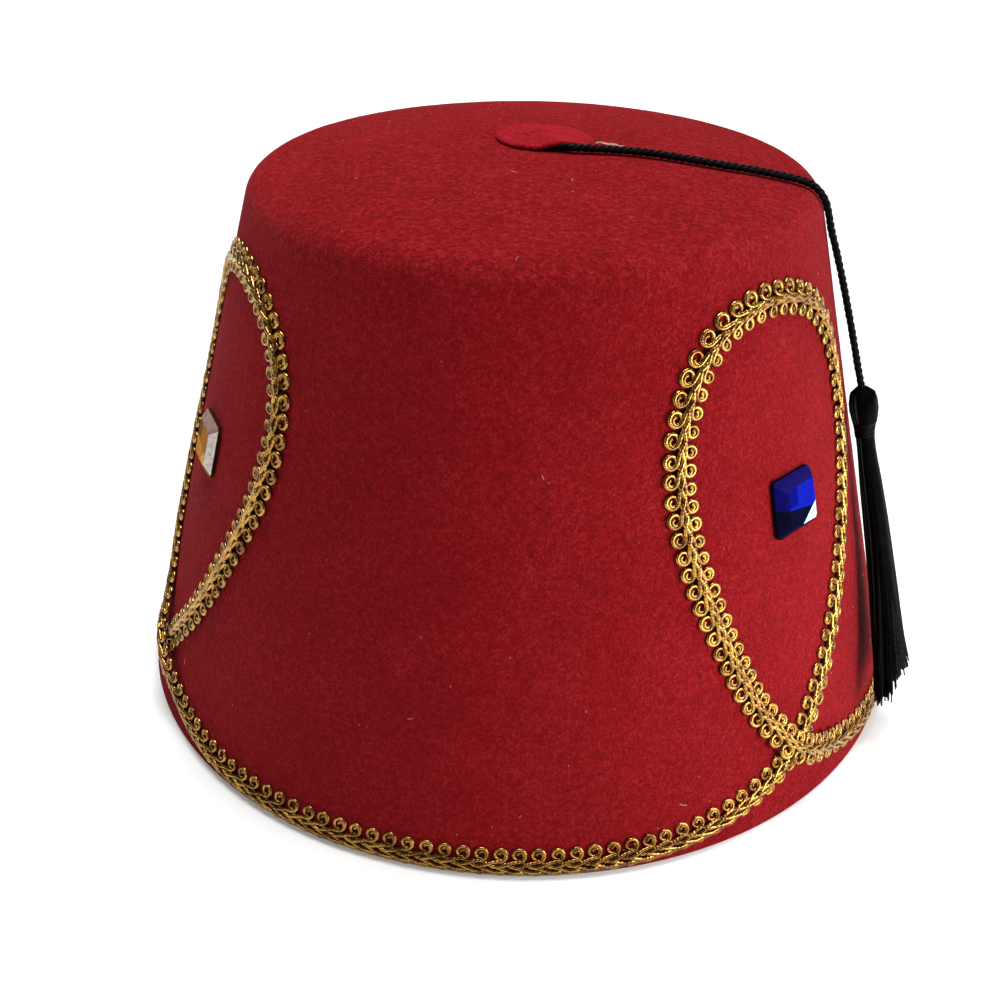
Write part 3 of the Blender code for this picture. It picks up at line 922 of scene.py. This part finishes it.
def make_stone(motif, glass, tints):
    """A square step-cut glass stone, each facet in the stone's colour with painted reflections and
    shade.
    """
    bm = bmesh.new()
    bmesh.ops.create_cube(bm, size=1)
    bmesh.ops.scale(bm, vec=(STONE_SIDE, STONE_SIDE, STONE_GIRDLE), verts=bm.verts)
    bmesh.ops.translate(bm, vec=(0, 0, STONE_GIRDLE / 2), verts=bm.verts)
    corners = [
        edge for edge in bm.edges
        if abs(edge.verts[0].co.z - edge.verts[1].co.z) > STONE_GIRDLE / 2
    ]
    bmesh.ops.bevel(
        bm, geom=corners, offset=STONE_CORNER_CUT, affect="EDGES",
        segments=1, profile=0.5, material=-1,
    )
    bm.normal_update()
    table = max(bm.faces, key=lambda face: face.normal.z)
    half_side = STONE_SIDE / 2
    height = STONE_GIRDLE
    for row in STONE_FACETS:
        bmesh.ops.inset_region(bm, faces=[table], thickness=0, depth=0)
        shrink = 1 - row.inward / half_side
        bmesh.ops.scale(bm, vec=(shrink, shrink, 1), verts=table.verts)
        bmesh.ops.translate(bm, vec=(0, 0, row.rise), verts=table.verts)
        half_side -= row.inward
        height += row.rise
    on_table = height - TABLE_SLACK
    split_top(bm, STONE_GIRDLE, SHADE_LINE)
    for line in (BLOCK_SIDE, BLOCK_FOOT, GLINT_LINE):
        split_top(bm, on_table, line)
    bm.normal_update()
    # Each facet's colour, with its painted light and shade, goes in a colour layer for the glass
    layer = bm.loops.layers.float_color.new("facet")
    for face in bm.faces:
        tint = facet_tint(face, on_table, tints)
        for loop in face.loops:
            loop[layer] = (*tint, 1)
    bm.transform(stone_matrix(motif))
    add_piece(motif.stone + "_glass", mesh_from(bm, motif.stone), glass, [motif.stone], 4)


# Cord and tassel


def cord_curve():
    """The cord's smooth centre line, from under the button to the tassel."""
    return smooth_route([Vector(point) for point in CORD_ROUTE], SPAN_STEPS)


def inside_tassel(matrix):
    """The cord's hidden last stretch, down through the tassel's head to the knot that holds it."""
    steps = round(CORD_TAIL / LINE_STEP)
    return [matrix @ Vector((0, 0, CORD_TAIL * step / steps)) for step in range(1, steps + 1)]


def make_cord(black, route):
    """The free cord, three strands twisted together along its route."""
    length = route_length(route)
    line = even_steps(route, round(length / CORD_STEP))
    strand_radius = CORD_DIAMETER / 2 / (1 + 2 / math.sqrt(3))
    strand_offset = CORD_DIAMETER / 2 - strand_radius
    strands = [[], [], []]
    centre = Vector(BUTTON_CENTRE)
    for index, point in enumerate(line):
        hidden = max(0, 1 - (point.xy - centre).length / BUTTON_RADIUS)
        pressed = min(1, hidden * 3) if index < len(line) / 4 else 0
        squash = 1 - 0.5 * pressed
        point = point - Vector((0, 0, CORD_SQUASH * pressed))
        ahead = line[min(index + 1, len(line) - 1)] - line[max(index - 1, 0)]
        side = ahead.cross(Vector((0, 1, 0.2))).normalized()
        rise = side.cross(ahead).normalized()
        turn = 2 * math.pi * index * length / (len(line) - 1) / CORD_TWIST
        for strand, path in enumerate(strands):
            angle = turn + 2 * math.pi * strand / 3
            outward = side * math.cos(angle) + rise * math.sin(angle)
            path.append(point + outward * strand_offset * squash)
    hidden_share = BUTTON_RADIUS * 0.9 / length
    mesh = thread_mesh(
        "cord_strands", strands, strand_radius * CORD_PLUMP,
        radii=lambda index, share: 0.6 if share < hidden_share else 1.0,
    )
    return add_piece("cord_strands", mesh, black, ["cord"], 80)


def tassel_frame(route):
    """The tassel's frame at the cord's end: X round the hat, Y off the felt, Z down to the tips."""
    points = even_steps(route, round(route_length(route) / CORD_END_STRETCH) + 1)
    before, end = points[-2:]
    top = end + (end - before).normalized() * GAP
    azimuth = math.degrees(math.atan2(top.y, top.x - lean_at(top.z)))
    _, around, up_side, normal = crown_frame(azimuth, top.z, 0)
    turn = Matrix((around, normal, -up_side)).transposed().to_4x4()
    return Matrix.Translation(top) @ turn @ Matrix.Rotation(math.radians(-TASSEL_LEAN), 4, "Y")


def tassel_row(along):
    """The tassel's section at a share of its length."""
    rows = TASSEL_SECTIONS
    for above, below in zip(rows, rows[1:]):
        if along <= below.along:
            share = (along - above.along) / (below.along - above.along)
            share = max(0, min(1, share))
            return TasselRow(*(a + (b - a) * share for a, b in zip(above, below)))
    return rows[-1]


def strand_path(matrix, chance, angle, depth, end):
    """One strand, from the top of the head, through the neck and down to its tip."""
    drift = chance.uniform(-1, 1)
    wave = chance.uniform(0, 6.28)
    bow = chance.gauss(0, 0.3)
    stray = chance.uniform(*STRAY_REACH) if chance.random() < STRAY_SHARE else 0
    path = []
    for step in range(STRAND_STEPS + 1):
        share = step / STRAND_STEPS
        along = end * share**1.25
        row = tassel_row(along)
        loose = max(0, along - LOOSE_FROM) / (1 - LOOSE_FROM)
        spread = depth + (0.16 * bow) * loose**2
        lock = LOCK_DEPTH * loose * math.sin(TASSEL_LOCKS * angle)
        turned = angle + lock / TASSEL_LOCKS * 2 + 0.25 * drift * loose
        x = row.width * spread * math.cos(turned) * TASSEL_WIDTH
        y = (row.depth * spread * math.sin(turned) + row.out) * TASSEL_WIDTH
        to_front = max(0, 0.25 - math.cos(turned)) / 1.25
        flare = to_front * max(0, (along - 0.45) / 0.5) ** 2
        x -= FRONT_FLARE[0] * flare
        x += stray * loose**3 * (1 if math.cos(turned) > 0 else -1)
        y -= FRONT_FLARE[1] * flare
        sideways = STRAND_WAVE * math.sin(wave + 9 * along) * loose
        path.append(matrix @ Vector((x + sideways, y + 0.5 * sideways, along * TASSEL_LENGTH)))
    return path


def make_tassel(black, matrix):
    """The tassel's strands, gathered in a head, bound at the neck and hanging in loose locks."""
    chance = random.Random(5)
    paths = []
    for index in range(TASSEL_STRANDS):
        angle = 2 * math.pi * index * 0.61803
        depth = math.sqrt(chance.uniform(0.30, 1.0))
        slant = -END_SLANT * math.cos(angle) * depth
        end = STRAND_END + slant + chance.uniform(*STRAND_END_SPREAD)
        paths.append(strand_path(matrix, chance, angle, depth, end))
    mesh = thread_mesh("tassel_strands", paths, STRAND_RADIUS, 0)
    strands = add_piece("tassel_strands", mesh, black, ["tassel"], 80)
    steps = 24 * BINDING_TURNS
    wrap = []
    for step in range(steps + 1):
        share = step / steps
        angle = 2 * math.pi * BINDING_TURNS * share
        along = BINDING_FROM + BINDING_SPAN * share
        row = tassel_row(along)
        x = (row.width * TASSEL_WIDTH + BINDING_LIFT) * math.cos(angle)
        y = (row.depth * TASSEL_WIDTH + BINDING_LIFT) * math.sin(angle) + row.out * TASSEL_WIDTH
        wrap.append(matrix @ Vector((x, y, along * TASSEL_LENGTH)))
    mesh = thread_mesh("tassel_binding", [wrap], BINDING_RADIUS)
    binding = add_piece("tassel_binding", mesh, black, ["tassel"], 80)
    return strands, binding


# Lint and nap


def surface_spot(chance):
    """A spot on the outside of the crown, with the felt's direction outwards there."""
    if chance.random() < SIDE_SHARE:
        azimuth = chance.uniform(-180, 180)
        rise = 1 - math.sqrt(chance.uniform(0, 1))
        height = CLEAR_OF_RIM + (side_top_height() - CLEAR_OF_RIM) * rise
        point, _, _, normal = crown_frame(azimuth, height, 0)
        return point, normal
    edge_radius, _ = dome_edge()
    angle = chance.uniform(0, 2 * math.pi)
    radius = edge_radius * math.sqrt(chance.uniform(0, 1))
    x = lean_at(TOP_CORNER_HEIGHT) + radius * math.cos(angle)
    y = radius * math.sin(angle)
    lean = Vector((x, y, edge_radius / math.tan(math.radians(TOP_EDGE_SLOPE)))).normalized()
    return Vector((x, y, top_height(x, y))), lean


def fibre(chance, point, normal, length, stand):
    """A short bent fibre that starts in the felt."""
    heading = Vector((chance.gauss(0, 1), chance.gauss(0, 1), chance.gauss(0, 1)))
    heading = (heading - normal * heading.dot(normal)).normalized()
    bend = normal.cross(heading) * chance.uniform(-0.5, 0.5)
    path = []
    for step in range(4):
        share = step / 3
        rise = stand * math.sin(math.pi * min(1, share * 0.8 + 0.05))
        path.append(point + (heading * share + bend * share * share) * length + normal * rise)
    return path


def frayed_curl(index, spot):
    """A loose fibre that curls along the top from a spot, each by its own phase."""
    start = Vector((*spot, top_height(*spot) + GAP))
    curl = []
    for step in range(CURL_POINTS):
        angle = 0.9 * index + step * 0.62
        wave = CURL_WIDTH * math.sin(angle * 2)
        rise = CURL_HEIGHT * math.sin(angle) + CURL_HEIGHT
        curl.append(start + Vector((CURL_STEP * step, wave, rise)))
    return curl


def make_nap(felt, lint):
    """Short fibres standing out of the felt, and a few pale hairs of lint lying on it."""
    chance = random.Random(23)
    paths = []
    for _ in range(NAP_FIBRES):
        point, normal = surface_spot(chance)
        length = chance.uniform(*NAP_LENGTH)
        stand = chance.uniform(*NAP_STAND)
        paths.append(fibre(chance, point - normal * NAP_ROOT, normal, length, stand))
    add_piece("felt_nap", thread_mesh("felt_nap", paths, NAP_RADIUS, 0), felt, [], 80)
    hairs = []
    for _ in range(LINT_HAIRS):
        point, normal = surface_spot(chance)
        is_short = chance.random() < SHORT_LINT_SHARE
        length = chance.uniform(*(SHORT_LINT if is_short else LONG_LINT))
        hairs.append(fibre(chance, point, normal, length, LINT_STAND))
    hairs += [frayed_curl(index, spot) for index, spot in enumerate(FRAYED_ENDS)]
    mesh = thread_mesh(
        "felt_lint", hairs, LINT_RADIUS, 0,
        radii=lambda index, share: 1.0 if index < LINT_HAIRS else FRAYED_THICKNESS,
    )
    add_piece("felt_lint", mesh, lint, [], 80)


# Studio


def add_near_light(name, place, aim, size, power):
    """A soft square lamp close to the hat, pointed at a spot."""
    lamp = bpy.data.lights.new(name, "AREA")
    lamp.size = size
    lamp.energy = power
    holder = bpy.data.objects.new(name, lamp)
    holder.location = place
    holder.rotation_euler = (Vector(place) - Vector(aim)).to_track_quat("Z", "Y").to_euler()
    bpy.context.scene.collection.objects.link(holder)


def add_light(name, azimuth, elevation, spread, strength):
    """A soft far lamp that shines from a direction round the hat and above the floor."""
    lamp = bpy.data.lights.new(name, "SUN")
    lamp.energy = strength
    lamp.angle = math.radians(spread)
    holder = bpy.data.objects.new(name, lamp)
    turn, rise = math.radians(azimuth), math.radians(elevation)
    level = math.cos(rise)
    source = Vector((math.cos(turn) * level, math.sin(turn) * level, math.sin(rise)))
    holder.rotation_euler = source.to_track_quat("Z", "Y").to_euler()
    bpy.context.scene.collection.objects.link(holder)


def make_studio():
    """A pale floor that glows faintly, a dim surround and four soft lamps, the main one overhead."""
    bm = bmesh.new()
    bmesh.ops.create_grid(bm, x_segments=1, y_segments=1, size=4)
    mesh = mesh_from(bm, "floor")
    paper = Finish("floor_paper", Roughness=0.9, Emission_Strength=0.20, Specular_IOR_Level=0.0)
    paper.shader.inputs["Emission Color"].default_value = (1, 1, 1, 1)
    shade = paper.ramp(paper.object_noise(30), ((0.3, (0.68, 0.68, 0.68)), (0.7, (0.71, 0.71, 0.71))))
    paper.join(shade, paper.shader.inputs["Base Color"])
    mesh.materials.append(paper.material)
    floor = bpy.data.objects.new("floor", mesh)
    bpy.context.scene.collection.objects.link(floor)
    world = bpy.data.worlds.new("surround")
    world.use_nodes = True
    world.node_tree.nodes["Background"].inputs["Color"].default_value = (1, 1, 1, 1)
    world.node_tree.nodes["Background"].inputs["Strength"].default_value = 0.07
    bpy.context.scene.world = world
    add_light("key", azimuth=0, elevation=18, spread=68, strength=0.6)
    add_near_light(
        "side", place=(0.188, -0.158, 0.080), aim=(0.06, -0.05, 0.055), size=0.10, power=0.375
    )
    add_light("overhead", azimuth=82, elevation=72.5, spread=40, strength=4.95)
    add_light("fill", azimuth=-155, elevation=25, spread=40, strength=0.22)
    bpy.context.scene.view_settings.view_transform = "Standard"


def main():
    make_camera()
    black_cord = thread_finish(
        "twisted_rayon", *CORD_BLACKS, turns=300, metallic=0.0, roughness=0.5
    )
    route = cord_curve()
    matrix = tassel_frame(route)
    whole_route = route + inside_tassel(matrix)
    cord = make_cord(black_cord, whole_route)
    black = thread_finish(
        "rayon_strands", *STRAND_BLACKS, turns=60, metallic=0.0, roughness=0.35
    )
    strands, binding = make_tassel(black, matrix)
    felt = felt_finish("red_felt_nap", *FELT_REDS)
    button = felt_finish("button_felt_nap", *BUTTON_REDS)
    make_crown(felt)
    make_button(button, route)
    gold = thread_finish("gold_thread", *GOLDS, turns=46, metallic=0.92, roughness=0.20)
    core_gold = thread_finish("gold_core", *CORE_GOLDS, turns=1500, metallic=0.6, roughness=0.5)
    make_gimp(gold, core_gold)
    # The stones' glass, whose facet colours carry painted reflections and shade
    glass = glass_finish("foiled_glass_painted_light")
    for motif in MOTIFS:
        is_amber = motif.stone.startswith("amber")
        tints, slot = (AMBER_TINTS, "amber_glass") if is_amber else (BLUE_TINTS, "blue_glass")
        make_stone(motif, glass, tints)
    lint = Finish("pale_lint", Roughness=0.9)
    lint_colour = lint.ramp(lint.object_noise(90), tuple(zip((0.35, 0.65), LINT_PINKS)))
    lint.join(lint_colour, lint.shader.inputs["Base Color"])
    make_nap(felt, lint.material)
    make_studio()


main()
